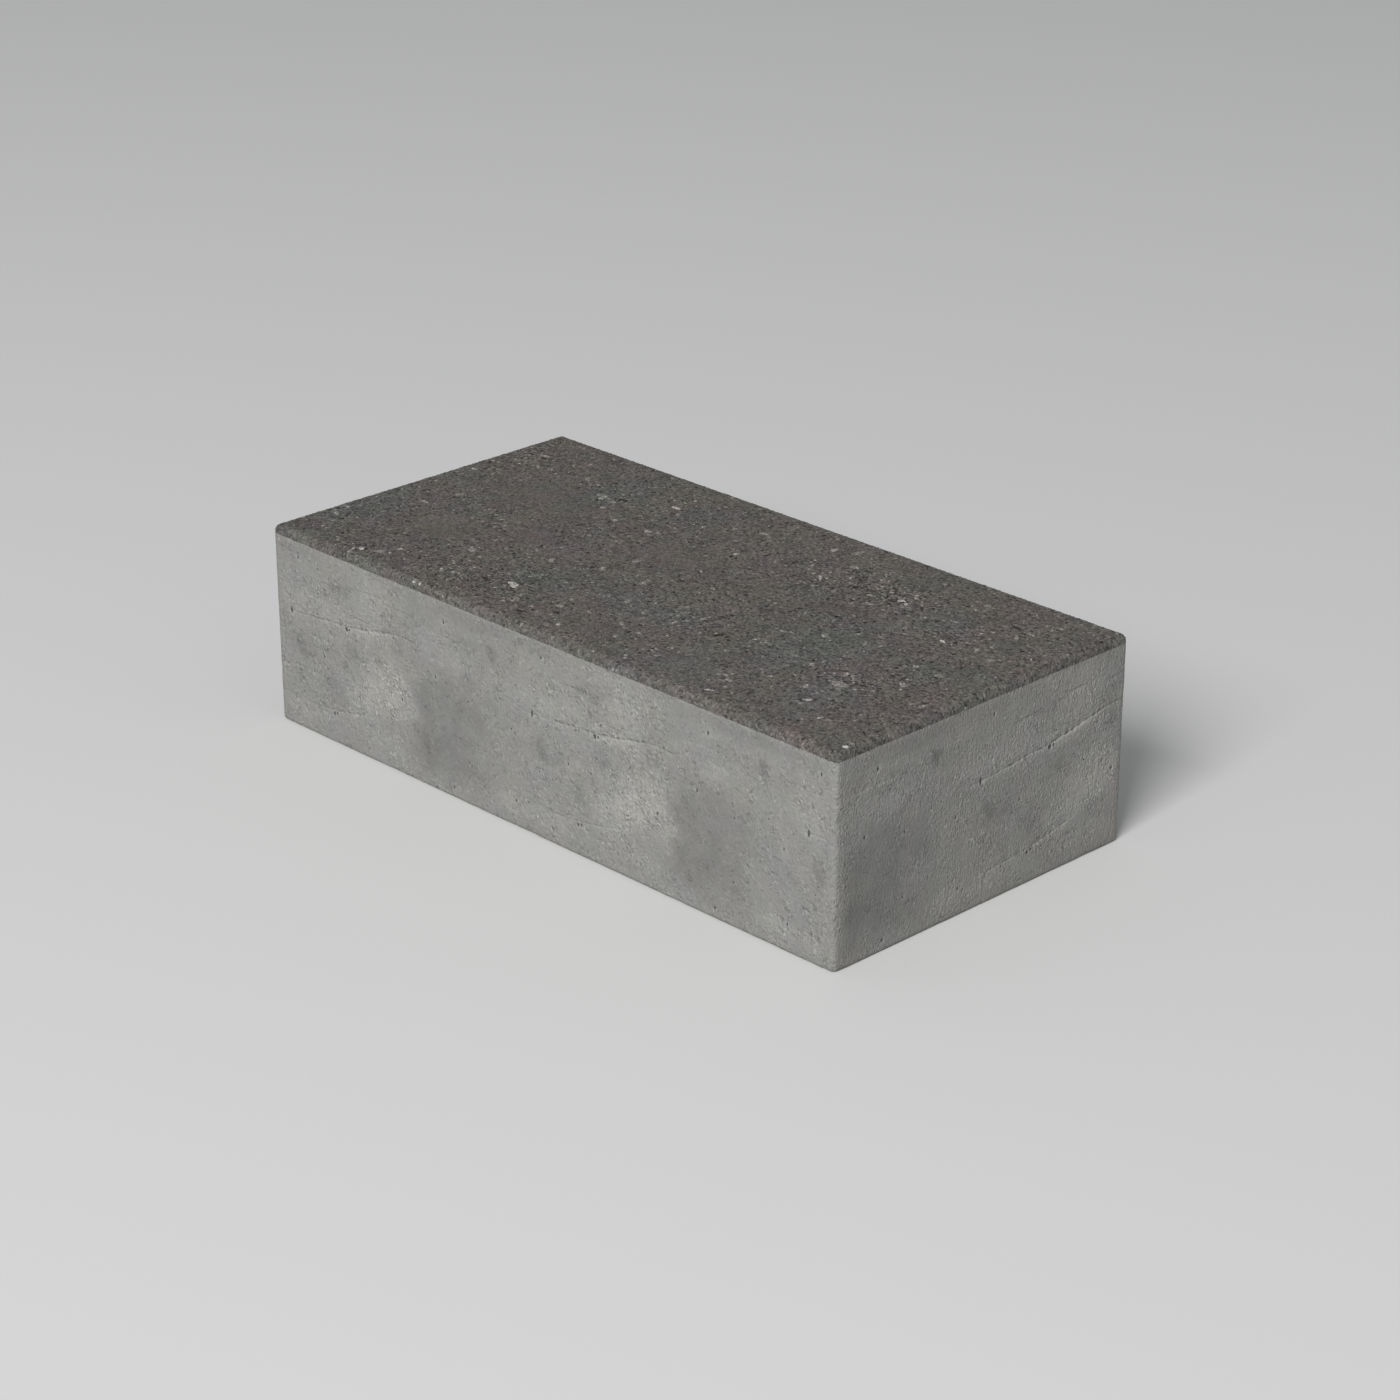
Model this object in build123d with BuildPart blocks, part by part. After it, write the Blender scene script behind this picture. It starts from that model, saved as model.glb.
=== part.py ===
"""A concrete paving stone: one block, pressed in a mould, with every edge slightly rounded.

The stone lies on its bed face with the wearing face up. The origin is at the middle of the bed face,
+X runs along the length, +Y across the width and +Z up. All sizes are in millimetres.
"""

import os

from build123d import *

# Driving dimensions
STONE_LENGTH = 220.0
STONE_WIDTH = 110.0
STONE_HEIGHT = 60.0
EDGE_RADIUS = 2.2

# The stone: its plan, raised to the full height, with the mould's radius on all twelve edges
with BuildPart() as paving_stone:
    with BuildSketch(Plane.XY) as plan:
        Rectangle(STONE_LENGTH, STONE_WIDTH)
    extrude(amount=STONE_HEIGHT)
    fillet(paving_stone.edges(), radius=EDGE_RADIUS)

paving_stone.part.label = "paving_stone"

os.makedirs("parts", exist_ok=True)
export_step(paving_stone.part, "parts/paving_stone.step")
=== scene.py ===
"""A concrete paving stone, dressed around its packed block: the cast block with the marks of its mould, the
grains that show in its wearing face, and the larger chips among them. Lengths are in metres, and those of
the marks, patches and chips in millimetres."""

import math

import bmesh
import bpy
import numpy as np
from mathutils import Matrix, Vector, noise


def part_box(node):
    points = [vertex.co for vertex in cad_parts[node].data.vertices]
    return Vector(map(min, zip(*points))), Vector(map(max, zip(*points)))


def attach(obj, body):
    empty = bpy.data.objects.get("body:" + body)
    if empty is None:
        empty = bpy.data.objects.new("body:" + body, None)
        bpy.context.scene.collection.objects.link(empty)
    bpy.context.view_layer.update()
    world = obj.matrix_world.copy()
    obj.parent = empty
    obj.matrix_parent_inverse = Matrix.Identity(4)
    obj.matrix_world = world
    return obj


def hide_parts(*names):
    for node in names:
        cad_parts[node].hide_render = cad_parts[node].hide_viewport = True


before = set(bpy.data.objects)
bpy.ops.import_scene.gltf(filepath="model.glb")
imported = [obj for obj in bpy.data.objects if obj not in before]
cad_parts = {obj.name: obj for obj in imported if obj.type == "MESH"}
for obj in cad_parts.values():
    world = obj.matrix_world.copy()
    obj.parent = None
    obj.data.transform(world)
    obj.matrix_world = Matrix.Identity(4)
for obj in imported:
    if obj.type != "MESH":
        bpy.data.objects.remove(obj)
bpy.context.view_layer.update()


# The block is one piece of concrete, pressed and vibrated in a steel mould and turned out while still green.
# Its sides keep the mould's marks: hairline seams, air pits and cloudy patches, which come again with every
# length of the mould's facing. Their grooves and pits are darkened with painted shade, and the seams' lips
# and the pits' rims paled with painted highlight, over their real relief. Every edge is rounded, and the
# paste of the dark wearing face lies a bit low.
MM = 0.001
BLOCK_LOW, BLOCK_HIGH = (np.array(corner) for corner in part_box("paving_stone"))
EDGE_RADIUS = 2.2 * MM
# How tightly the edges of the wearing face, the upright edges and those of the bed turn, where 2 is round
LEVEL_SQUARENESS, UPRIGHT_SQUARENESS, BED_SQUARENESS = 2.0, 3.2, 5.0
FINISH_DEPTH = 2.73 * MM
FINISH_STEP = 0.3 * MM
PASTE_DEPTH = 0.15 * MM
COARSE_STEP = 2.0 * MM
SIDE_STEP = 1.0 * MM
MARK_STEP = 0.25 * MM
STEP_SLACK = 1.3
ARC_END = 45.0
ARC_STEPS = 3
REFINE_ROUNDS = 3
# The sides are counted from 0: front, right, back, left, top and bed
LEFT, TOP = 3, 4

# The mould's facing: its length, then for the four upright sides where it starts on them, how far it is
# stretched there and how strong its seams are
FACING_LENGTH = 101.9
FACING_START = (0.0, 45.7, 71.0, 20.0)
FACING_STRETCH = (1.0, 1.089, 1.0, 1.089)
SEAM_STRENGTH = (0.9, 1.4, 0.8, 1.0)
# Each seam: the side of its groove that its lip is on, where its painted highlight lies, then its places
# along and up, each with how deep the groove is there and how proud the lip, which also set how strong its
# painted shade and highlight are
BELOW, ABOVE = 1.0, -1.0
SEAMS = (
    (BELOW, (
        (1.5, 35.4, 0.0, 0.1), (6.9, 35.6, 0.3, 0.4), (13.0, 36.1, 0.35, 0.45), (18.1, 36.5, 0.7, 0.6),
        (22.0, 37.0, 0.7, 0.65), (26.9, 37.4, 0.7, 0.6), (30.0, 37.4, 0.5, 0.5), (33.0, 37.9, 0.6, 0.8),
        (35.0, 38.3, 0.7, 1.2), (38.0, 38.7, 0.9, 1.6), (41.5, 39.4, 0.8, 1.5), (43.5, 39.8, 0.2, 0.9),
        (44.6, 40.1, 0.7, 0.8), (47.5, 40.6, 0.9, 0.8), (50.0, 41.1, 0.9, 0.65), (53.5, 41.6, 0.7, 0.6),
        (55.0, 41.7, 0.3, 0.4), (57.5, 41.5, 0.8, 0.35), (60.5, 41.4, 0.8, 0.3), (62.2, 41.3, 0.1, 0.0),
    )),
    (BELOW, (
        (3.5, 9.0, 0.0, 0.0), (8.0, 9.0, 0.1, 0.2), (12.0, 9.2, 0.2, 0.2), (18.0, 9.6, 0.4, 0.35),
        (22.0, 10.0, 0.3, 0.3), (28.0, 10.8, 0.5, 0.45), (33.0, 11.6, 0.4, 0.4), (38.0, 12.8, 0.3, 0.3),
        (43.8, 14.0, 0.0, 0.0),
    )),
    (BELOW, ((33.0, 43.4, 0.0, 0.0), (38.0, 44.0, 0.2, 0.2), (45.0, 45.0, 0.0, 0.0))),
    (BELOW, ((98.0, 50.0, 0.0, 0.0), (100.5, 50.1, 0.4, 0.4), (101.8, 50.1, 0.2, 0.2))),
    (ABOVE, (
        (17.5, 47.8, 0.0, 0.0), (20.0, 48.0, 0.4, 0.4), (24.0, 48.2, 0.4, 0.6), (29.4, 48.8, 0.0, 0.0),
    )),
    (ABOVE, (
        (36.5, 50.2, 0.0, 0.1), (38.5, 50.25, 0.3, 0.3), (41.0, 50.4, 0.4, 0.4), (44.0, 50.4, 0.35, 0.4),
        (47.0, 50.65, 0.3, 0.3), (50.0, 51.0, 0.1, 0.2), (51.0, 51.1, 0.0, 0.0),
    )),
    (ABOVE, (
        (51.0, 49.3, 0.0, 0.0), (52.5, 49.3, 0.2, 0.3), (55.0, 49.25, 0.3, 0.4), (59.0, 49.1, 0.2, 0.3),
        (61.0, 49.1, 0.1, 0.1), (62.0, 49.1, 0.0, 0.0),
    )),
    (BELOW, (
        (64.0, 47.2, 0.0, 0.0), (67.0, 47.0, 0.05, 0.3), (71.0, 47.2, 0.05, 0.45), (76.0, 47.2, 0.1, 0.45),
        (79.0, 46.9, 0.05, 0.2), (81.0, 46.8, 0.0, 0.0),
    )),
)
# Each pit: its middle along and up, then its width and height
PITS = (
    (10.9, 52.8, 0.5, 1.1), (73.5, 51.3, 0.6, 1.0), (6.9, 35.6, 0.7, 1.9), (31.4, 36.8, 1.1, 1.1),
    (32.7, 37.0, 0.6, 0.8), (69.5, 34.1, 0.5, 1.1), (82.9, 30.9, 0.4, 0.8), (100.4, 28.4, 0.5, 0.8),
    (44.2, 28.8, 0.4, 0.6), (54.9, 22.8, 0.7, 0.8), (21.0, 25.6, 0.5, 0.8), (16.1, 19.6, 0.4, 0.6),
    (24.5, 9.1, 0.8, 0.8), (25.8, 9.5, 0.6, 0.8), (76.0, 3.3, 0.6, 0.9), (101.8, 8.0, 0.5, 1.0),
    (82.7, 12.8, 0.5, 0.6), (9.5, 19.6, 0.4, 0.5), (95.1, 34.8, 0.4, 0.6), (35.8, 17.8, 0.4, 0.5),
    (33.7, 40.8, 0.4, 0.5),
)
# Each patch: its middle along and up, half its width and height, how much paler it is and how much rougher
PATCHES = (
    (76.0, 27.0, 17.0, 9.5, -0.17, -0.3), (75.0, 12.0, 16.0, 8.0, -0.17, -0.25),
    (64.0, 20.0, 4.0, 14.0, -0.08, -0.1), (85.0, 54.5, 15.0, 3.0, -0.13, -0.2),
    (92.5, 47.6, 3.6, 2.2, -0.28, 0.0), (62.0, 52.0, 6.0, 6.0, -0.06, -0.2),
    (81.0, 47.5, 5.0, 2.0, -0.10, 0.0), (8.0, 55.0, 12.0, 2.4, -0.08, -0.1),
    (12.0, 26.0, 2.2, 3.4, -0.20, 0.0), (11.0, 26.0, 8.0, 7.0, -0.04, -0.15),
    (26.0, 18.0, 3.6, 5.0, -0.10, 0.0), (27.5, 48.0, 1.8, 1.5, -0.16, 0.0),
    (32.3, 47.8, 2.1, 1.7, -0.14, 0.0), (29.0, 47.5, 6.0, 3.0, -0.03, 0.2),
    (35.0, 30.6, 3.0, 2.4, -0.14, 0.0), (54.4, 37.2, 1.2, 2.0, -0.14, 0.0),
    (68.0, 14.0, 4.0, 3.0, -0.06, 0.0), (80.0, 51.5, 22.0, 3.0, 0.0, -0.2),
    (94.0, 12.0, 6.0, 4.0, 0.0, -0.2), (51.0, 25.0, 9.0, 8.5, 0.25, 0.5), (57.0, 22.0, 2.6, 9.0, 0.07, 0.1),
    (43.0, 20.0, 8.0, 6.0, 0.18, 0.2), (37.0, 14.5, 7.0, 5.0, 0.12, 0.15),
    (42.0, 39.0, 9.0, 2.6, 0.16, 0.2), (30.0, 38.5, 6.0, 3.0, 0.08, 0.2), (44.0, 47.0, 7.0, 6.0, 0.14, 0.1),
    (14.0, 39.5, 14.0, 4.0, 0.11, 0.1), (75.0, 41.0, 7.0, 3.0, 0.08, 0.0),
    (10.0, 6.5, 15.0, 3.0, 0.09, 0.1), (47.0, 7.0, 9.0, 3.0, 0.08, 0.1), (98.0, 6.0, 5.0, 3.4, 0.10, 0.1),
    (12.5, 17.5, 7.0, 5.0, 0.0, 0.2), (20.0, 45.0, 15.0, 4.0, 0.04, 0.1),
    (40.0, 55.0, 12.0, 2.5, 0.06, 0.1), (52.0, 44.0, 7.0, 4.0, 0.0, 0.3),
)
# Each patch of the wearing face: its middle from the block's middle, half its length and width, how much
# greener the stone of it is and how much coarser
FACE_PATCHES = (
    (-60.0, 31.0, 9.0, 15.0, 0.9, 0.1), (-30.0, 36.0, 7.0, 8.0, 0.8, 0.0),
    (60.0, -8.0, 13.0, 22.0, 0.8, 0.0), (-101.0, -27.0, 10.0, 15.0, 0.9, 0.1),
    (5.0, -24.0, 20.0, 7.0, 0.7, 0.0), (45.0, -43.0, 9.0, 9.0, 0.9, -0.2),
    (82.0, -36.0, 7.0, 13.0, 0.9, 0.0), (-28.0, -30.0, 9.0, 6.0, 0.7, 0.2), (95.0, 0.0, 8.0, 8.0, 0.5, 0.0),
    (70.0, 26.0, 7.0, 7.0, 0.7, 0.0), (-82.0, -10.0, 6.0, 5.0, 0.6, 0.0), (-100.0, 8.0, 8.0, 8.0, 0.5, 0.0),
    (50.0, 31.0, 13.0, 7.0, 0.0, 0.7), (30.0, 26.0, 11.0, 9.0, 0.0, 0.4), (80.0, 20.0, 8.0, 6.0, 0.2, 0.4),
    (-30.0, -41.0, 14.0, 8.0, 0.0, 0.4), (-54.0, -41.0, 14.0, 8.0, 0.0, 0.35),
    (90.0, -9.0, 8.0, 7.0, 0.0, 0.4), (79.0, -20.0, 9.0, 6.0, 0.3, 0.5), (28.0, -20.0, 12.0, 6.0, 0.3, 0.3),
    (-101.0, 36.0, 7.0, 9.0, 0.0, 0.4), (-80.0, -50.0, 6.0, 4.0, 0.0, 0.35),
    (-70.0, 15.0, 17.0, 12.0, 0.0, -0.4), (-10.0, 8.0, 15.0, 8.0, 0.0, -0.3),
    (-75.0, -23.0, 11.0, 8.0, 0.0, -0.4), (-52.0, -10.0, 9.0, 7.0, 0.0, -0.3),
    (10.0, -43.0, 9.0, 5.0, 0.0, -0.3),
)
PATCH_STEEPNESS = 1.5
SEAM_HALF_WIDTH = 0.20
SEAM_DEPTH = 0.16
SEAM_WANDER = 0.05
WANDER_WAVES = ((0.9, 0.0), (2.3, 1.0))
# A seam is broken into stronger and weaker lengths: their middle strength and swing, the two waves that set
# them, and the limits
BREAK_MIDDLE, BREAK_SWING = 0.85, 0.45
BREAK_WAVE, SLIP_WAVE, SLIP_SWING = 1.9, 0.7, 2.0
BREAK_LIMITS = (0.4, 1.2)
STEP_HEIGHT = 0.09
STEP_FADE = 1.6
PIT_SPREAD = 1.2
PIT_DEPTH_SHARE = 0.5
# The painted highlight on the rim around each pit: its width and how much paler it is painted
RIM_WIDTH = 0.4
RIM_HIGHLIGHT = 0.12
MARK_MARGIN = 0.5
LIP_MARGIN = 0.9
MARK_LEAST = 0.1
FAR_AWAY = 9.0
PLAIN_ROUGH = 0.40
RIPPLE_FALL, RIPPLE_RATIO = 1.0, 2.0
DRIFT_SIZE = 5.0
DRIFT_OCTAVES = 3
DRIFT_APART = 500.0
DRIFT_LONG = 4.0
DRIFT_HIGH = 1.8
EDGE_MARGIN = 2.4
EDGE_FADE = 1.6
EDGE_TOP = 0.3 * MM
EDGE_CALMER = 0.1
EDGE_GREENER = 0.35
FACE_GREEN = 0.2
COARSE_LIMITS = (0.5, 1.8)
# The unevenness of the cast skin: how deep, then the size and the octaves of its ripples
SWELL_DEPTH, SWELL_RIPPLES = 0.05 * MM, (14.0 * MM, 3)
GRAINY_DEPTH, GRAINY_RIPPLES, GRAINY_LEAST = 0.07 * MM, (2.2 * MM, 2), 0.3
WEAR_DEPTH, WEAR_RIPPLES, WEAR_LEAST, WEAR_CURVE = 0.20 * MM, (7.0 * MM, 3), 0.15, 0.25


def mould_lines(low, high):
    """Where the block's mesh lines cross one axis: even over the flat, closer over the rounded edges."""
    arc = EDGE_RADIUS * np.tan(np.radians(np.linspace(0.0, ARC_END, ARC_STEPS + 1)))
    flat_low, flat_high = low + EDGE_RADIUS, high - EDGE_RADIUS
    steps = round((flat_high - flat_low) / COARSE_STEP)
    flat = np.linspace(flat_low, flat_high, steps + 1)
    return np.concatenate((flat_low - arc[:0:-1], flat, flat_high + arc[1:]))


def sharp_block():
    """The points and quads of the block's skin with its edges still sharp."""
    lines = [mould_lines(low, high) for low, high in zip(BLOCK_LOW, BLOCK_HIGH)]
    skin = np.zeros([len(line) for line in lines], bool)
    skin[[0, -1], :, :] = True
    skin[:, [0, -1], :] = True
    skin[:, :, [0, -1]] = True
    numbers = np.cumsum(skin).reshape(skin.shape) - 1
    points = np.stack(np.meshgrid(*lines, indexing="ij"), axis=-1)[skin]
    quads = []
    for axis in range(3):
        for end in (0, -1):
            ids = np.take(numbers, end, axis=axis)
            corners = np.stack((ids[:-1, :-1], ids[1:, :-1], ids[1:, 1:], ids[:-1, 1:]), axis=-1)
            outward = (axis != 1) == (end == -1)
            quads.append((corners if outward else corners[..., ::-1]).reshape(-1, 4))
    return points, np.concatenate(quads)


def edge_reach(out):
    """How far points stand out from the block's core, measured so that the skin is one edge radius away:
    round over the edges of the wearing face, and tighter over the upright edges and those of the bed."""
    level = (np.abs(out[:, :2]) ** UPRIGHT_SQUARENESS).sum(axis=1) ** (1.0 / UPRIGHT_SQUARENESS)
    squareness = np.where(out[:, 2] < 0.0, BED_SQUARENESS, LEVEL_SQUARENESS)
    return (level**squareness + np.abs(out[:, 2]) ** squareness) ** (1.0 / squareness)


def out_of_core(points):
    """The nearest points of the block's core, inside its rounded edges, and the way out from them."""
    core = np.clip(points, BLOCK_LOW + EDGE_RADIUS, BLOCK_HIGH - EDGE_RADIUS)
    return core, points - core


def rounded(points):
    """Where points of the sharp block come to lie on the rounded one, and the way out of the block there."""
    core, out = out_of_core(points)
    skin = core + out * (EDGE_RADIUS / edge_reach(out))[:, None]
    return skin, out / np.linalg.norm(out, axis=1)[:, None]


def side_place(points):
    """The side that each point of the sharp block is on, with its places along that side and up it."""
    x, y, z = (points - BLOCK_LOW).T
    x_left, y_left, z_left = (BLOCK_HIGH - points).T
    side = np.argmin((y, x_left, y_left, x, z_left, z), axis=0)
    along = np.choose(side, (x, y, x_left, y_left, x, x))
    return side, along, np.where(side < TOP, z, y)


def facing_place(points):
    """Where each point of the sharp block was cast on the mould's facing, along it and up, whether it was
    cast there at all, how clear of the block's edges it is, 0 to 1, and how strong its side's seams are."""
    side, along, up = side_place(points)
    upright = side < TOP
    facing = np.minimum(side, LEFT)
    start, stretch = np.choose(facing, FACING_START), np.choose(facing, FACING_STRETCH)
    u = ((along / MM - start) / stretch) % FACING_LENGTH
    length, width, height = BLOCK_HIGH - BLOCK_LOW
    far_end = np.choose(facing % 2, (length, width)) - along
    inset = np.minimum(np.minimum(along, far_end), np.minimum(up, height - up)) / MM
    clear = upright * np.clip((inset - EDGE_MARGIN) / EDGE_FADE, 0.0, 1.0)
    return u, up / MM, upright, clear, np.choose(facing, SEAM_STRENGTH)


def wrapped(distance):
    """A distance along the facing, the short way round."""
    return (distance + FACING_LENGTH / 2) % FACING_LENGTH - FACING_LENGTH / 2


def seam_place(u, z, lip_side, rows):
    """How far each point lies from a seam, on the side away from its lip, how deep its groove is there and
    how proud its lip."""
    line_u, line_z, groove, lip = np.array(rows).T
    wander = SEAM_WANDER * sum(np.sin(u * wave + start) for wave, start in WANDER_WAVES)
    offset = lip_side * (z - np.interp(u, line_u, line_z) - wander)
    slip = SLIP_SWING * np.sin(SLIP_WAVE * u + line_z[0])
    broken = np.clip(BREAK_MIDDLE + BREAK_SWING * np.sin(BREAK_WAVE * u + slip), *BREAK_LIMITS)
    groove_there = np.interp(u, line_u, groove, 0.0, 0.0) * broken
    lip_there = np.interp(u, line_u, lip, 0.0, 0.0) * broken
    return offset, groove_there, lip_there


def mould_marks(points):
    """What the mould cut into each point of the sharp block: its depth in metres, how far it is from a seam
    and from a pit, the seam's groove and lip, and how close the mesh should be there."""
    u, z, upright, clear, strength = facing_place(points)
    marks = {name: np.zeros(len(points)) for name in ("depth", "seam_groove", "seam_lip")}
    marks["seam_offset"] = np.full(len(points), FAR_AWAY)
    marks["pit_reach"] = np.full(len(points), FAR_AWAY)
    marks["step"] = np.where(upright, SIDE_STEP, COARSE_STEP)
    for lip_side, rows in SEAMS:
        offset, groove, lip = seam_place(u, z, lip_side, rows)
        groove, lip = groove * clear * strength, lip * clear * strength
        cut = np.exp(-((offset / SEAM_HALF_WIDTH) ** 2)) * groove
        ledge = np.where(offset > 0, np.exp(-np.abs(offset) / STEP_FADE), 0.0) * lip
        marks["depth"] += SEAM_DEPTH * cut + STEP_HEIGHT * ledge
        nearest = (groove + lip > 0) & (np.abs(offset) < np.abs(marks["seam_offset"]))
        for name, value in (("seam_offset", offset), ("seam_groove", groove), ("seam_lip", lip)):
            marks[name] = np.where(nearest, value, marks[name])
        near = (offset > -LIP_MARGIN) & (offset < MARK_MARGIN) & (groove + lip > MARK_LEAST)
        marks["step"] = np.where(near, MARK_STEP, marks["step"])
    for pit_u, pit_z, width, height in PITS:
        across, rise = wrapped(u - pit_u), z - pit_z
        reach = np.hypot(across / (PIT_SPREAD * width / 2), rise / (PIT_SPREAD * height / 2))
        reach = np.where(upright, reach, FAR_AWAY)
        bowl = np.sqrt(np.clip(1.0 - reach**2, 0.0, None))
        marks["depth"] = np.maximum(marks["depth"], PIT_DEPTH_SHARE * width * bowl)
        marks["pit_reach"] = np.minimum(marks["pit_reach"], reach)
        around = np.hypot(across / (width / 2 + MARK_MARGIN), rise / (height / 2 + MARK_MARGIN))
        marks["step"] = np.where((around < 1.0) & upright, MARK_STEP, marks["step"])
    marks["depth"] *= MM
    return marks


def patch_share(across, rise):
    """How fully a patch covers each place, from 1 in its middle down to 0 outside it."""
    return np.exp(-((across**2 + rise**2) ** PATCH_STEEPNESS))


def face_marks(points):
    """How green and how coarse the stone of the wearing face is at each point, greener and less coarse over
    the rounded edges."""
    x, y = (points[:, :2] / MM).T
    below = np.clip((BLOCK_HIGH[2] - points[:, 2] - EDGE_TOP) / EDGE_TOP, 0.0, 1.0)
    green = FACE_GREEN + EDGE_GREENER * below
    coarse = 1.0 - EDGE_CALMER * below
    for patch_x, patch_y, half_length, half_width, greener, coarser in FACE_PATCHES:
        there = patch_share((x - patch_x) / half_length, (y - patch_y) / half_width)
        green += greener * there
        coarse += coarser * there
    return np.clip(green, 0.0, 1.0), np.clip(coarse, *COARSE_LIMITS)


def ripple(points, size, octaves):
    """Smooth random swell of that size at each point, about -1 to 1."""
    places = (Vector(point / size) for point in points)
    return np.array([noise.fractal(place, RIPPLE_FALL, RIPPLE_RATIO, octaves) for place in places])


def facing_ripple(u, z, start):
    """Smooth random swell over the mould's facing, about -1 to 1, the same on every length of it."""
    turn = math.tau * u / FACING_LENGTH
    radius = FACING_LENGTH / math.tau
    rolled = np.stack((radius * np.cos(turn), radius * np.sin(turn), z + start), axis=1)
    return ripple(rolled, DRIFT_SIZE, DRIFT_OCTAVES)


def cloudy_marks(points):
    """How much paler and how rough the concrete is at each point of the sharp block, the pits' rims paled
    with painted highlight.
    """
    u, z, upright, clear, _ = facing_place(points)
    shade = np.zeros(len(points))
    rough = np.full(len(points), PLAIN_ROUGH)
    # Painted highlight: a pale rim around each pit, set a little along and below it, where light would catch
    # its wall
    for pit_u, pit_z, width, height in PITS:
        beside, above = wrapped(u - pit_u) - RIM_WIDTH / 2, z - pit_z + RIM_WIDTH / 2
        rim = np.hypot(beside, above) - max(width, height) / 2
        shade += RIM_HIGHLIGHT * np.exp(-((rim / RIM_WIDTH) ** 2)) * upright
    drift_u = DRIFT_LONG * facing_ripple(u, z, 0.0)
    drift_z = DRIFT_HIGH * facing_ripple(u, z, DRIFT_APART)
    for patch_u, patch_z, half_width, half_height, paler, rougher in PATCHES:
        across = wrapped(u + drift_u - patch_u) / half_width
        there = patch_share(across, (z + drift_z - patch_z) / half_height) * clear
        shade += paler * there
        rough += rougher * there
    return shade, np.clip(rough, 0.0, 1.0)


def vertex_places(mesh):
    """The places of a mesh's vertices."""
    places = np.empty(len(mesh.vertices) * 3)
    mesh.vertices.foreach_get("co", places)
    return places.reshape(-1, 3)


def corner_vertices(mesh):
    """The vertex at each corner of a mesh's faces."""
    vertices = np.empty(len(mesh.loops), int)
    mesh.loops.foreach_get("vertex_index", vertices)
    return vertices


def placed(name, data):
    """A new object of the scene, of that mesh, light or camera."""
    thing = bpy.data.objects.new(name, data)
    bpy.context.scene.collection.objects.link(thing)
    return thing


def keep_values(mesh, name, values):
    """Keeps one value for each vertex of a mesh, for its material to read."""
    mesh.attributes.new(name, "FLOAT", "POINT").data.foreach_set("value", values)


points, quads = sharp_block()
block_mesh = bpy.data.meshes.new("stone_block")
block_mesh.from_pydata(points.tolist(), [], quads.tolist())
shape = bmesh.new()
shape.from_mesh(block_mesh)
for _ in range(REFINE_ROUNDS):
    shape.verts.ensure_lookup_table()
    shape.edges.ensure_lookup_table()
    places = np.array([vertex.co for vertex in shape.verts])
    ends = np.array([(edge.verts[0].index, edge.verts[1].index) for edge in shape.edges])
    first, second = places[ends[:, 0]], places[ends[:, 1]]
    lengths = np.linalg.norm(first - second, axis=1)
    longest = STEP_SLACK * mould_marks((first + second) / 2)["step"]
    too_long = [shape.edges[i] for i in np.nonzero(lengths > longest)[0]]
    bmesh.ops.subdivide_edges(shape, edges=too_long, cuts=1, use_grid_fill=True, use_single_edge=True)
shape.to_mesh(block_mesh)
shape.free()

sharp = vertex_places(block_mesh)
skin, outward = rounded(sharp)
marks = mould_marks(sharp)
marks["shade"], marks["rough"] = cloudy_marks(sharp)
swell = SWELL_DEPTH * (1.0 + ripple(skin, *SWELL_RIPPLES))
grainy = GRAINY_DEPTH * (GRAINY_LEAST + marks["rough"]) * (1.0 + ripple(skin, *GRAINY_RIPPLES))
curve = np.clip((1.0 - np.abs(outward).max(axis=1)) / WEAR_CURVE, 0.0, 1.0)
wear = WEAR_DEPTH * curve * np.clip(ripple(skin, *WEAR_RIPPLES) - WEAR_LEAST, 0.0, None)
finish_line = BLOCK_HIGH[2] - FINISH_DEPTH
finish = np.clip((skin[:, 2] - finish_line) / FINISH_STEP, 0.0, 1.0)
inward = marks.pop("depth") + swell + grainy + wear
inward = np.maximum(inward, finish * PASTE_DEPTH)
block_mesh.vertices.foreach_set("co", (skin - outward * inward[:, None]).ravel())
marks["green"], marks["coarse"] = face_marks(skin)
for name, values in marks.items():
    keep_values(block_mesh, name, values)
block_mesh.update()
block_mesh.shade_smooth()

# The bake's map: each side of the block has its own sheet, in rows, with more room for the sides that show
SHEETS = (
    (0.0, 0.0, 1.0, 0.22), (0.0, 0.44, 0.5, 0.22), (0.0, 0.22, 1.0, 0.22),
    (0.5, 0.44, 0.5, 0.22), (0.0, 0.66, 1.0, 0.20), (0.0, 0.86, 1.0, 0.14),
)
SHEET_MARGIN = 0.002
loop_vertex = corner_vertices(block_mesh)
loop_total = np.empty(len(block_mesh.polygons), int)
block_mesh.polygons.foreach_get("loop_total", loop_total)
loop_face = np.repeat(np.arange(len(loop_total)), loop_total)
corners = sharp[loop_vertex]
middles = np.stack([np.bincount(loop_face, places) for places in corners.T], axis=1) / loop_total[:, None]
loop_side = side_place(middles)[0][loop_face]
x, y, z = (corners - BLOCK_LOW).T / (BLOCK_HIGH - BLOCK_LOW)[:, None]
sheet_u = np.choose(loop_side, (x, y, 1 - x, 1 - y, x, x))
sheet_v = np.where(loop_side < TOP, z, y)
sheet_left, sheet_foot, sheet_wide, sheet_high = np.array(SHEETS)[loop_side].T
uv = np.stack((
    sheet_left + SHEET_MARGIN + sheet_u * (sheet_wide - 2 * SHEET_MARGIN),
    sheet_foot + SHEET_MARGIN + sheet_v * (sheet_high - 2 * SHEET_MARGIN),
), axis=1)
block_mesh.uv_layers.new(name="OFBake").data.foreach_set("uv", uv.ravel())


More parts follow.
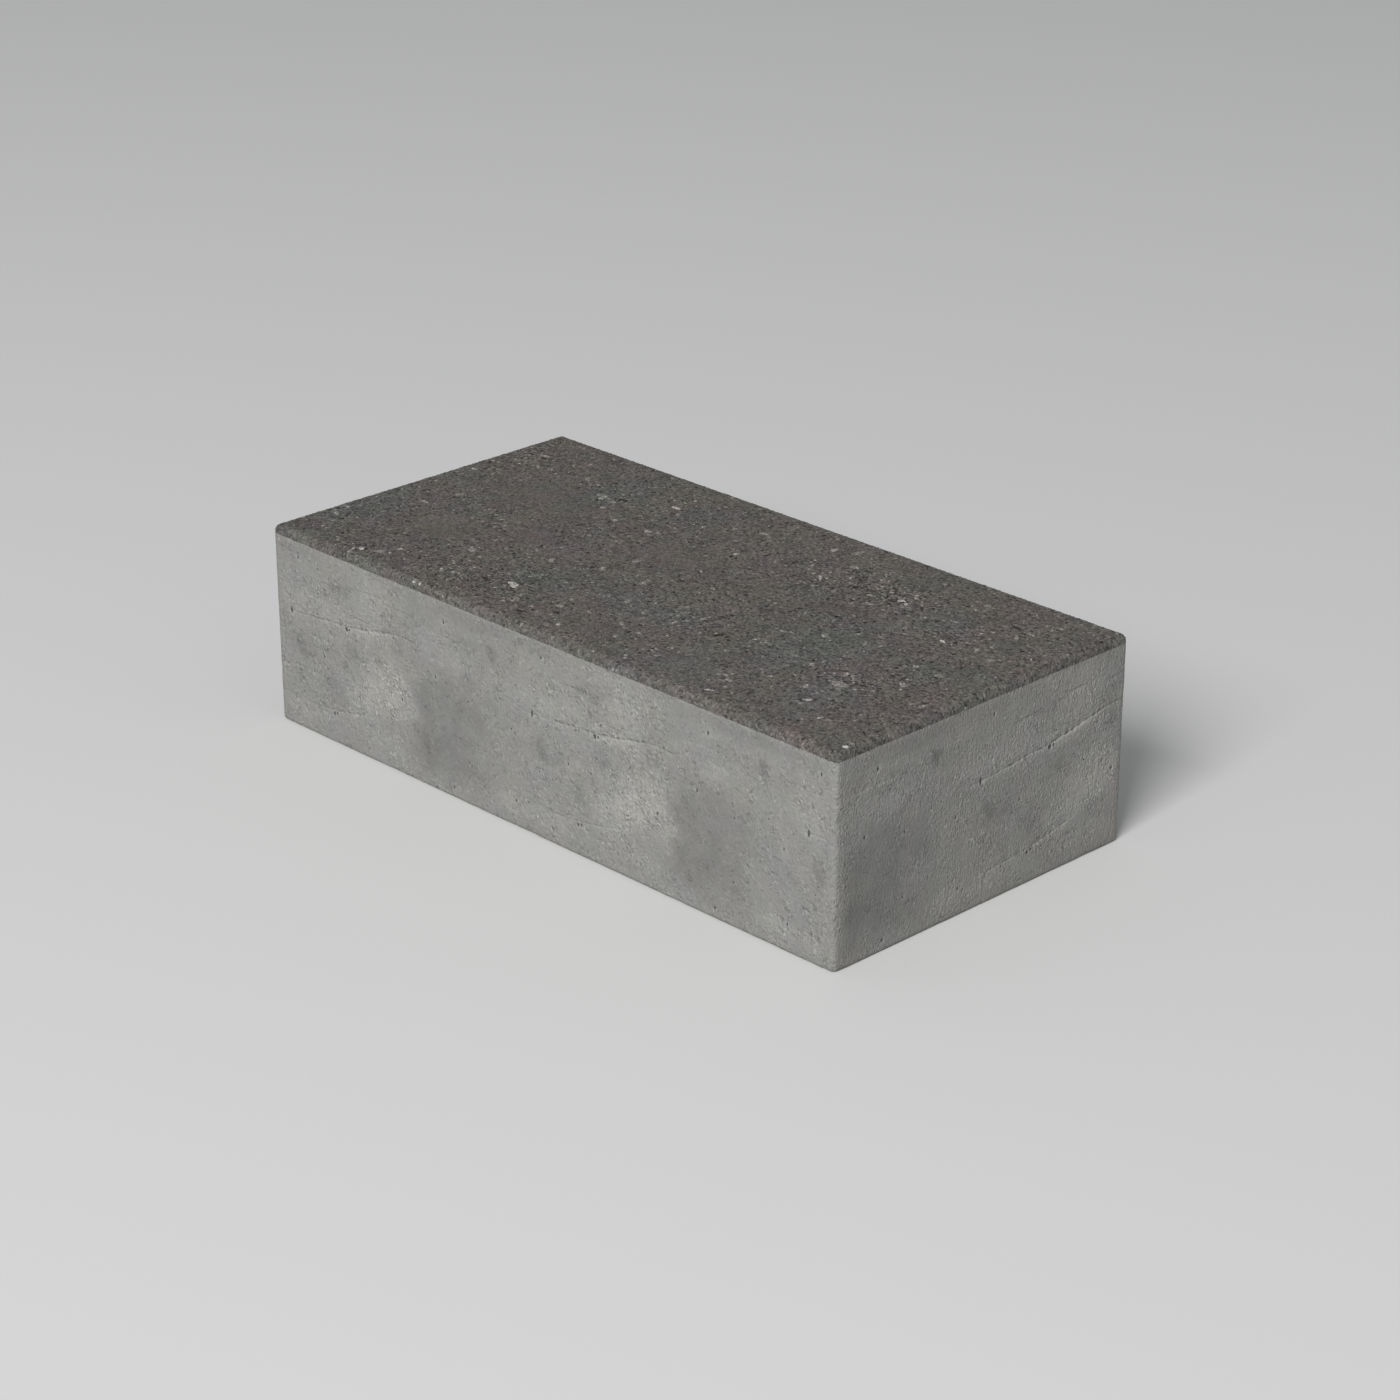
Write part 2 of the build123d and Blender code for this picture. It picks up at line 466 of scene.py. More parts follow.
class Wire:
    """One output socket of a node tree. Arithmetic on wires adds Math nodes, and add() any other node."""

    def __init__(self, socket):
        self.socket = socket

    def add(self, kind, settings, inputs, output=0):
        """Adds a node of that kind with its settings and inputs, and returns one of its outputs."""
        tree = self.socket.id_data
        node = tree.nodes.new(kind)
        for name, value in settings.items():
            if name == "stops":
                Wire.set_stops(node.color_ramp, value)
            else:
                setattr(node, name, value)
        sockets = {socket.identifier: socket for socket in node.inputs}
        for name, value in inputs.items():
            for item in value if isinstance(value, list) else [value]:
                if isinstance(item, Wire):
                    tree.links.new(item.socket, sockets[name])
                else:
                    sockets[name].default_value = item
        return Wire(node.outputs[output])

    @staticmethod
    def set_stops(ramp, stops):
        """Puts a colour ramp's stops at the given places."""
        while len(ramp.elements) < len(stops):
            ramp.elements.new(1.0)
        for element, (position, colour) in zip(ramp.elements, stops):
            element.position = position
            element.color = (*colour, 1.0)

    def feed(self, socket):
        """Leads this wire into a socket."""
        self.socket.id_data.links.new(self.socket, socket)

    def maths(self, operation, first, second):
        return self.add("ShaderNodeMath", {"operation": operation}, {"Value": first, "Value_001": second})

    def size(self):
        return self.maths("ABSOLUTE", self, 0.0)

    def larger(self, other):
        return self.maths("MAXIMUM", self, other)

    def clamped(self):
        inputs = {"Value": self, "Value_001": 0.0}
        return self.add("ShaderNodeMath", {"operation": "ADD", "use_clamp": True}, inputs)

    def __add__(self, other):
        return self.maths("ADD", self, other)

    def __radd__(self, other):
        return self.maths("ADD", other, self)

    def __sub__(self, other):
        return self.maths("SUBTRACT", self, other)

    def __rsub__(self, other):
        return self.maths("SUBTRACT", other, self)

    def __mul__(self, other):
        return self.maths("MULTIPLY", self, other)

    def __rmul__(self, other):
        return self.maths("MULTIPLY", other, self)


# The middle of what noise, tones and mixes range over, and the output of a Mix node that is a colour
MIDDLE = 0.5
COLOUR_OUTPUT = 2


def new_finish(name):
    """A material, its shader, and the piece's own coordinates to work from."""
    material = bpy.data.materials.new(name)
    material.use_nodes = True
    tree = material.node_tree
    place = Wire(tree.nodes.new("ShaderNodeTexCoord").outputs["Object"])
    return material, tree.nodes["Principled BSDF"], place


def cloud(place, size, detail):
    """Noise of that size, about -0.5 to 0.5."""
    inputs = {"Vector": place, "Scale": 1.0 / size, "Detail": detail}
    return place.add("ShaderNodeTexNoise", {}, inputs) - MIDDLE


def cells(place, size):
    """Small sharp-edged cells of that size, each with its own value from -0.5 to 0.5."""
    colours = place.add("ShaderNodeTexVoronoi", {}, {"Vector": place, "Scale": 1.0 / size}, "Color")
    return place.add("ShaderNodeSeparateColor", {}, {"Color": colours}, "Red") - MIDDLE


def attribute(place, name):
    """The value that a piece keeps under that name."""
    return place.add("ShaderNodeAttribute", {"attribute_name": name}, {}, "Fac")


def mixed(amount, first, second):
    """Two colours, mixed by an amount from 0 to 1."""
    inputs = {"Factor_Float": amount, "A_Color": first, "B_Color": second}
    return amount.add("ShaderNodeMix", {"data_type": "RGBA"}, inputs, COLOUR_OUTPUT)


def tinted(colour, tint):
    """A colour multiplied by a tint."""
    inputs = {"Factor_Float": 1.0, "A_Color": colour, "B_Color": tint}
    return tint.add("ShaderNodeMix", {"data_type": "RGBA", "blend_type": "MULTIPLY"}, inputs, COLOUR_OUTPUT)


def ramped(value, low, high):
    """0 at low, 1 at high and smooth between, whichever of the two is the larger."""
    inputs = {"Value": value, "From Min": low, "From Max": high}
    return value.add("ShaderNodeMapRange", {"interpolation_type": "SMOOTHSTEP"}, inputs)


CEMENT_DARK = (0.036, 0.035, 0.033, 1.0)
CEMENT_PALE = (0.450, 0.443, 0.426, 1.0)
WARM_TINT = (1.016, 1.0, 0.962, 1.0)
COOL_TINT = (0.985, 1.0, 1.015, 1.0)
GREEN_TINT = (0.945, 1.0, 1.000, 1.0)
BROWN_TINT = (1.050, 0.985, 0.945, 1.0)
PINK_TINT = (1.020, 0.972, 1.025, 1.0)
LEAF_TINT = (0.980, 1.028, 0.972, 1.0)
FAINT_PINK = (1.006, 0.993, 1.006, 1.0)
FAINT_LEAF = (0.994, 1.007, 0.994, 1.0)
PASTE_DARK = (0.030, 0.028, 0.026, 1.0)
PASTE_PALE = (0.200, 0.188, 0.177, 1.0)
CEMENT_ROUGHNESS = 0.86
# The cement's patterns: the size of each and its detail
BROAD_CLOUD, SMALL_CLOUD = (26.0 * MM, 3.0), (6.0 * MM, 4.0)
WORN_CLOUD, FINE_CLOUD, STREAK_CLOUD = (4.0 * MM, 3.0), (0.9 * MM, 2.0), (0.5 * MM, 2.0)
WARM_CLOUD, LEAF_CLOUD = (13.0 * MM, 4.0), (11.0 * MM, 2.0)
SMALL_BUMPS, TALL_BUMPS, BROAD_BUMPS = (0.78 * MM, 2.0), (0.5 * MM, 1.0), (2.2 * MM, 2.0)
SPECK_SIZE = 0.75 * MM
TALL_SCALE, FLAT_SCALE = (1.0, 1.0, 0.35), (0.3, 0.3, 1.0)
WORN_GAIN = 4.0
# How much each pattern lightens or darkens the cement, and the least that smooth cement has of it
BROAD_TONE, SMALL_TONE, STREAK_TONE, WORN_TONE = 0.05, 0.17, 0.13, 0.05
FINE_TONE, FINE_LEAST = 0.21, 0.35
SPECK_TONE, PALE_LEAST, DARK_LEAST, DARK_SHARE = 0.20, 0.10, 0.25, 0.6
PALE_SPECKS, DARK_SPECKS = (0.36, 0.42), (-0.38, -0.44)
# The tone of the stains, which also carry the pits' painted-highlight rims, then the painted highlight on
# the seams' lips, and the painted shade in their hairlines and in the pits
SHADE_TONE, LIP_HIGHLIGHT, HAIRLINE_SHADE, PIT_SHADE = 0.75, 0.16, 0.28, 0.80
WARM_SHADE, WARM_SPREAD, LEAF_SPREAD = 0.6, 2.2, 2.8
# Across a seam: where the painted highlight on its lip begins, how it fades near and wide, where the far
# side has painted highlight too, and how wide its painted-shade hairline, its groove and its ledge are
LIP_EDGE, LIP_NEAR, LIP_WIDE = (-0.02, -0.25), (-0.9, -0.3), (-2.0, -0.5)
LIP_NEAR_SHARE, LIP_WIDE_SHARE, FAR_SHARE = 0.55, 0.45, 0.4
FAR_RISE, FAR_FALL = (0.20, 0.60), (1.5, 0.7)
HAIRLINE_WIDTH, GROOVE_WIDTH, GROOVE_MIDDLE = (0.32, 0.08), (0.40, 0.0), 0.05
LEDGE_RISE, LEDGE_FALL = (-0.60, 0.05), (2.0, 0.1)
# The reach from a pit's middle where its painted shade begins and where it is full
PIT_RIM = (1.15, 0.80)
# The relief that is too fine for the mesh, as shares of the bump's height
BUMP_HEIGHT = 1.15 * MM
RELIEF, RELIEF_LEAST, RELIEF_ROUGH = 0.66, 0.15, 1.1
TALL_SHARE, BROAD_SHARE, GROOVE_SHARE, LEDGE_SHARE = 0.5, 0.7, 0.22, 0.26
# The paste of the wearing face, the tints that drift over it and its grains, and its ragged lower end
PASTE_CLOUD, PASTE_SAND_SIZE, PASTE_SAND = (1.2 * MM, 3.0), 0.6 * MM, 0.7
GREEN_CLOUD, GREEN_SPREAD = (8.0 * MM, 2.0), 2.1
DUST_CLOUD, DUST_MIDDLE, DUST_SPREAD = (9.0 * MM, 4.0), 0.972, 0.5
RAGGED_CLOUD, RAGGED_DEPTH, RAGGED_BLUR = (1.1 * MM, 2.0), 0.5 * MM, 0.06 * MM


def face_greenness(place):
    """How green the wearing face is, with its patches and a drift over them."""
    return attribute(place, "green") + cloud(place, *GREEN_CLOUD) * GREEN_SPREAD


def face_tinted(place, colour, green, leafy):
    """A colour of the wearing face, tinted brown to green and pink to leaf green, and dusty in places."""
    colour = tinted(colour, mixed(green.clamped(), BROWN_TINT, GREEN_TINT))
    colour = tinted(colour, mixed(leafy, PINK_TINT, LEAF_TINT))
    return tinted(colour, DUST_MIDDLE + cloud(place, *DUST_CLOUD) * DUST_SPREAD)


concrete, shader, place = new_finish("cast_concrete")
rough_there = attribute(place, "rough")
shade_there = attribute(place, "shade")
seam_offset = attribute(place, "seam_offset")
seam_groove = attribute(place, "seam_groove")
seam_lip = attribute(place, "seam_lip")
height = place.add("ShaderNodeSeparateXYZ", {}, {"Vector": place}, "Z")
tall = place.add("ShaderNodeMapping", {}, {"Vector": place, "Scale": TALL_SCALE})
flat = place.add("ShaderNodeMapping", {}, {"Vector": place, "Scale": FLAT_SCALE})
fine = cloud(place, *FINE_CLOUD)
speck = cells(place, SPECK_SIZE)
worn = cloud(place, *WORN_CLOUD) + MIDDLE
worn = worn * worn * WORN_GAIN
tone = MIDDLE + BROAD_TONE * cloud(place, *BROAD_CLOUD) + SMALL_TONE * cloud(place, *SMALL_CLOUD)
tone = tone + fine * FINE_TONE * (FINE_LEAST + rough_there) * worn
tone = tone + cloud(flat, *STREAK_CLOUD) * STREAK_TONE + (worn - 1.0) * rough_there * WORN_TONE
tone = tone + ramped(speck, *PALE_SPECKS) * (PALE_LEAST + rough_there) * worn * SPECK_TONE
tone = tone - ramped(speck, *DARK_SPECKS) * (DARK_LEAST + DARK_SHARE * rough_there) * worn * SPECK_TONE
# Painted highlight: the seam's lip, and more faintly its far side, paled where light would catch the ledge
lip_highlight_fade = ramped(seam_offset, *LIP_NEAR) * LIP_NEAR_SHARE + ramped(seam_offset, *LIP_WIDE) * LIP_WIDE_SHARE
lip_side = ramped(seam_offset, *LIP_EDGE) * lip_highlight_fade
far_side_highlight = ramped(seam_offset, *FAR_RISE) * ramped(seam_offset, *FAR_FALL)
lip = (lip_side + far_side_highlight * FAR_SHARE) * seam_lip * (1.0 + fine)
tone = tone + shade_there * SHADE_TONE + lip * LIP_HIGHLIGHT
# Painted shade: the seam's hairline and the pits darkened where their hollows fall in shade
hairline_shade = ramped(seam_offset.size(), *HAIRLINE_WIDTH) * seam_groove * (1.0 + fine)
pit = ramped(attribute(place, "pit_reach"), *PIT_RIM)
tone = tone * (1.0 - (hairline_shade * HAIRLINE_SHADE).larger(pit * PIT_SHADE).clamped())
cement = mixed(tone.clamped(), CEMENT_DARK, CEMENT_PALE)
warm = MIDDLE + shade_there * WARM_SHADE + cloud(place, *WARM_CLOUD) * WARM_SPREAD
cement = tinted(cement, mixed(warm.clamped(), COOL_TINT, WARM_TINT))
leafy = (MIDDLE + cloud(place, *LEAF_CLOUD) * LEAF_SPREAD).clamped()
cement = tinted(cement, mixed(leafy, FAINT_PINK, FAINT_LEAF))
sand = cells(place, PASTE_SAND_SIZE) * PASTE_SAND
paste_tone = MIDDLE + (cloud(place, *PASTE_CLOUD) + sand) * attribute(place, "coarse")
paste = mixed(paste_tone.clamped(), PASTE_DARK, PASTE_PALE)
paste = face_tinted(place, paste, face_greenness(place), leafy)
ragged = height + cloud(place, *RAGGED_CLOUD) * RAGGED_DEPTH
wearing = ramped(ragged, finish_line - RAGGED_BLUR, finish_line + RAGGED_BLUR)
mixed(wearing, cement, paste).feed(shader.inputs["Base Color"])
shader.inputs["Roughness"].default_value = CEMENT_ROUGHNESS
relief = cloud(place, *SMALL_BUMPS) + cloud(tall, *TALL_BUMPS) * TALL_SHARE
relief = relief + cloud(place, *BROAD_BUMPS) * BROAD_SHARE
relief = relief * (RELIEF_LEAST + RELIEF_ROUGH * rough_there) * worn * RELIEF
groove = ramped((seam_offset - GROOVE_MIDDLE).size(), *GROOVE_WIDTH) * seam_groove * GROOVE_SHARE
ledge = ramped(seam_offset, *LEDGE_RISE) * ramped(seam_offset, *LEDGE_FALL) * seam_lip * LEDGE_SHARE
bump = {"Height": relief - groove - ledge, "Distance": BUMP_HEIGHT, "Strength": 1.0}
place.add("ShaderNodeBump", {}, bump).feed(shader.inputs["Normal"])
block_mesh.materials.append(concrete)

stone_block = placed("stone_block", block_mesh)
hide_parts("paving_stone")
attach(stone_block, "root")


# The grains of the wearing face: crushed dark stone of about a millimetre, pressed flush into the paste of
# the top and its rounded edges while the concrete is green, then washed so that they stand a little proud.
GRAIN_SPACING = 1.02 * MM
GRAIN_DENSITY = 4.0e6
GRAIN_SMALLEST = 0.34 * MM
GRAIN_LARGEST = 0.95 * MM
GRAIN_SLIMNESS = (0.48, 0.95)
GRAIN_HEIGHT_LOW = 0.40 * MM
GRAIN_HEIGHT_HIGH = 0.75 * MM
GRAIN_TAPER = 0.80
GRAIN_SUNK_SHARE = 0.6
GRAIN_TILT = math.radians(6.0)
GRAIN_FLUSH = 0.01 * MM
GRAIN_DEEP = 0.09 * MM
GRAIN_CLEAR = 0.2 * MM
GRAIN_PALEST = 0.90
GRAIN_MIDDLE = 0.45
GRAIN_SEED = 11
# Each kind of grain: how many sides it has and the seed of its crushed corners, which move by up to the jolt
GRAIN_KINDS = ((4, 1), (3, 2), (4, 3), (5, 4), (4, 5))
GRAIN_JOLT = Vector((0.2, 0.2, 0.12))
# What is drawn for each grain, and the outputs of a Random Value node that are a number and a whole number
PICK, TIP, LEAN, TURN, LENGTH, SLIM, HEIGHT, TONE, SUNK = range(1, 10)
NUMBER_OUTPUT, WHOLE_OUTPUT = 1, 2


def grain_tree():
    """Scatters grains over a face: sunk into it, turned and tilted at random, and of several kinds."""
    tree = bpy.data.node_groups.new("wearing_grains", "GeometryNodeTree")
    inputs = {}
    for name, kind in (
        ("Face", "NodeSocketGeometry"), ("Spacing", "NodeSocketFloat"), ("Smallest", "NodeSocketFloat"),
        ("Largest", "NodeSocketFloat"), ("Lowest", "NodeSocketFloat"), ("Highest", "NodeSocketFloat"),
        ("Tilt", "NodeSocketFloat"), ("Seed", "NodeSocketInt"), ("Finish", "NodeSocketMaterial"),
    ):
        inputs[name] = tree.interface.new_socket(name, in_out="INPUT", socket_type=kind)
    tree.interface.new_socket("Grains", in_out="OUTPUT", socket_type="NodeSocketGeometry")
    group = tree.nodes.new("NodeGroupInput")
    given = {name: Wire(group.outputs[name]) for name in inputs}
    face = given["Face"]

    def chance(low, high, draw):
        """A number between two, drawn for each grain."""
        sockets = {"Min_001": low, "Max_001": high, "Seed": given["Seed"] + draw}
        return face.add("FunctionNodeRandomValue", {"data_type": "FLOAT"}, sockets, NUMBER_OUTPUT)

    spots = face.add("GeometryNodeDistributePointsOnFaces", {"distribute_method": "POISSON"}, {
        "Mesh": face, "Distance Min": given["Spacing"], "Density Max": GRAIN_DENSITY, "Seed": given["Seed"],
    })
    upright = Wire(spots.socket.node.outputs["Rotation"])
    kinds = []
    for sides, seed in GRAIN_KINDS:
        sizes = {"Vertices": sides, "Radius Top": GRAIN_TAPER, "Radius Bottom": 1.0, "Depth": 1.0}
        cone = face.add("GeometryNodeMeshCone", {"fill_type": "NGON"}, sizes)
        jolt = {"Min": -GRAIN_JOLT, "Max": GRAIN_JOLT, "Seed": seed}
        jolt = face.add("FunctionNodeRandomValue", {"data_type": "FLOAT_VECTOR"}, jolt)
        sunk = {"Vector": jolt, "Vector_001": (0.0, 0.0, -GRAIN_SUNK_SHARE)}
        sunk = face.add("ShaderNodeVectorMath", {"operation": "ADD"}, sunk)
        crushed = face.add("GeometryNodeSetPosition", {}, {"Geometry": cone, "Offset": sunk})
        kinds.append(face.add("GeometryNodeGeometryToInstance", {}, {"Geometry": crushed}))
    kinds = face.add("GeometryNodeJoinGeometry", {}, {"Geometry": kinds})
    pick = {"Min_002": 0, "Max_002": len(GRAIN_KINDS) - 1, "Seed": given["Seed"] + PICK}
    pick = face.add("FunctionNodeRandomValue", {"data_type": "INT"}, pick, WHOLE_OUTPUT)
    turn = face.add("ShaderNodeCombineXYZ", {}, {
        "X": chance(-1.0, 1.0, TIP) * given["Tilt"],
        "Y": chance(-1.0, 1.0, LEAN) * given["Tilt"],
        "Z": chance(-math.pi, math.pi, TURN),
    })
    turn = face.add("FunctionNodeEulerToRotation", {}, {"Euler": turn})
    turn = {"Rotation": upright, "Rotate By": turn}
    turn = face.add("FunctionNodeRotateRotation", {"rotation_space": "LOCAL"}, turn)
    share = chance(0.0, 1.0, LENGTH)
    length = given["Smallest"] + share * share * (given["Largest"] - given["Smallest"])
    size = face.add("ShaderNodeCombineXYZ", {}, {
        "X": length,
        "Y": length * chance(*GRAIN_SLIMNESS, SLIM),
        "Z": chance(given["Lowest"], given["Highest"], HEIGHT),
    })
    grains = face.add("GeometryNodeInstanceOnPoints", {}, {
        "Points": spots, "Instance": kinds, "Pick Instance": True, "Instance Index": pick,
        "Rotation": turn, "Scale": size,
    })
    for name, value in (
        ("grain_tone", chance(0.0, GRAIN_PALEST, TONE)),
        ("sunk", chance(GRAIN_FLUSH, GRAIN_DEEP, SUNK)),
    ):
        settings = {"data_type": "FLOAT", "domain": "INSTANCE"}
        sockets = {"Geometry": grains, "Name": name, "Value": value}
        grains = face.add("GeometryNodeStoreNamedAttribute", settings, sockets)
    grains = face.add("GeometryNodeRealizeInstances", {}, {"Geometry": grains})
    grains = face.add("GeometryNodeSetMaterial", {}, {"Geometry": grains, "Material": given["Finish"]})
    grains.feed(tree.nodes.new("NodeGroupOutput").inputs[0])
    return tree, {name: item.identifier for name, item in inputs.items()}


def pressed_flush(mesh, sunk):
    """Pulls what stands out of the rounded block back to its surface, or to that far below it."""
    core, out = out_of_core(vertex_places(mesh))
    far = edge_reach(out)
    limit = EDGE_RADIUS - sunk
    share = np.where(far > limit, limit / np.maximum(far, limit), 1.0)
    mesh.vertices.foreach_set("co", (core + out * share[:, None]).ravel())
    mesh.update()


def kept_values(mesh, name):
    """The values that a mesh keeps for its vertices under that name."""
    values = np.empty(len(mesh.vertices))
    mesh.attributes[name].data.foreach_get("value", values)
    return values


def take_marks(mesh):
    """Keeps on a mesh of grains how green the face is there, and spreads their tones where it is coarse."""
    green, coarse = face_marks(vertex_places(mesh))
    keep_values(mesh, "green", green)
    tones = GRAIN_MIDDLE + (kept_values(mesh, "grain_tone") - GRAIN_MIDDLE) * coarse
    tones = np.clip(tones, 0.0, GRAIN_PALEST)
    mesh.attributes["grain_tone"].data.foreach_set("value", tones)


def flat_map(mesh):
    """The bake's map of pieces set in the wearing face: the face seen from above."""
    share = (vertex_places(mesh) - BLOCK_LOW) / (BLOCK_HIGH - BLOCK_LOW)
    uv = share[corner_vertices(mesh), :2]
    mesh.uv_layers.new(name="OFBake").data.foreach_set("uv", uv.ravel())


# The grains' colours by their tone, from the darkest to the palest
GRAIN_STOPS = (
    (0.00, (0.012, 0.011, 0.010)), (0.07, (0.040, 0.037, 0.034)), (0.18, (0.088, 0.082, 0.076)),
    (0.50, (0.128, 0.120, 0.112)), (0.76, (0.162, 0.152, 0.143)), (0.87, (0.225, 0.213, 0.201)),
    (0.93, (0.320, 0.307, 0.290)), (1.00, (0.560, 0.550, 0.525)),
)
GRAIN_ROUGHNESS = 0.8
GRAIN_BUMPS, GRAIN_BUMP_HEIGHT = (0.4 * MM, 2.0), 0.1 * MM
MOTTLE_SIZE, MOTTLE_CELLS = 0.5 * MM, 0.12
MOTTLE_CLOUD, MOTTLE_SPREAD = (1.2 * MM, 2.0), 0.2
# Each grain's own shift of tint, drawn from its tone, which the palest ones are without
GREEN_KINDS, GREEN_SHIFT = 37.0, 0.12
LEAF_KINDS, LEAF_SHIFT = 61.0, 0.25
TINTED_TONES = (0.92, 0.80)

grain_finish, shader, place = new_finish("dark_grains")
grain_tone = attribute(place, "grain_tone")
mottle = cells(place, MOTTLE_SIZE) * MOTTLE_CELLS + cloud(place, *MOTTLE_CLOUD) * MOTTLE_SPREAD
mottled = grain_tone + mottle * (1.0 + attribute(place, "mottled"))
stone_colour = place.add("ShaderNodeValToRGB", {"stops": GRAIN_STOPS}, {"Fac": mottled.clamped()})
green_kind, leaf_kind = (
    place.add("ShaderNodeMath", {"operation": "FRACT"}, {"Value": grain_tone * kinds}) - MIDDLE
    for kinds in (GREEN_KINDS, LEAF_KINDS)
)
leafy = (cloud(place, *LEAF_CLOUD) * LEAF_SPREAD + leaf_kind * LEAF_SHIFT).larger(-MIDDLE)
leafy = (MIDDLE + leafy * ramped(grain_tone, *TINTED_TONES)).clamped()
green = face_greenness(place) + green_kind * GREEN_SHIFT
face_tinted(place, stone_colour, green, leafy).feed(shader.inputs["Base Color"])
shader.inputs["Roughness"].default_value = GRAIN_ROUGHNESS
bump = {"Height": cloud(place, *GRAIN_BUMPS), "Distance": GRAIN_BUMP_HEIGHT, "Strength": 1.0}
place.add("ShaderNodeBump", {}, bump).feed(shader.inputs["Normal"])

points, quads = sharp_block()
skin, outward = rounded(points)
dark = skin[:, 2] > finish_line + GRAIN_CLEAR
face_mesh = bpy.data.meshes.new("wearing_face")
face_mesh.from_pydata((skin - outward * PASTE_DEPTH).tolist(), [], quads[dark[quads].all(axis=1)].tolist())
face_object = placed("wearing_face", face_mesh)
tree, identifiers = grain_tree()
scatter = face_object.modifiers.new("grains", "NODES")
scatter.node_group = tree
for name, value in (
    ("Spacing", GRAIN_SPACING), ("Smallest", GRAIN_SMALLEST), ("Largest", GRAIN_LARGEST),
    ("Lowest", GRAIN_HEIGHT_LOW), ("Highest", GRAIN_HEIGHT_HIGH), ("Tilt", GRAIN_TILT),
    ("Seed", GRAIN_SEED), ("Finish", grain_finish),
):
    scatter[identifiers[name]] = value
depsgraph = bpy.context.evaluated_depsgraph_get()
grain_mesh = bpy.data.meshes.new_from_object(
    face_object.evaluated_get(depsgraph), preserve_all_data_layers=True, depsgraph=depsgraph)
face_object.modifiers.remove(scatter)
bpy.data.objects.remove(face_object)
grain_mesh.name = "wearing_grains"
pressed_flush(grain_mesh, kept_values(grain_mesh, "sunk"))
flat_map(grain_mesh)
take_marks(grain_mesh)
wearing_grains = placed("wearing_grains", grain_mesh)
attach(wearing_grains, "root")


# The larger chips: pale and dark splinters of stone, one to six millimetres long, and a few smooth green
# pebbles, which the same pressing left flush among the grains, on the face and on its front edge.
CHIP_CORNERS = 9
CHIP_SEED = 5
# A chip's rings of corners, from its top down: each one's share of the chip's outline, and its depth
CHIP_RINGS = ((0.82, 0.02 * MM), (1.0, 0.12 * MM), (0.75, 0.7 * MM))
CHIP_REACH = (0.68, 1.18)
CHIP_JOLT = 0.25
CHIP_GREEN, PEBBLE_GREEN = 0.4, 1.0
CHIP_MOTTLE = 1.1
PALE, DULL, SOFT, DIM, DUSKY, DARK, PEBBLE = 0.955, 0.875, 0.84, 0.81, 0.15, 0.03, 0.5
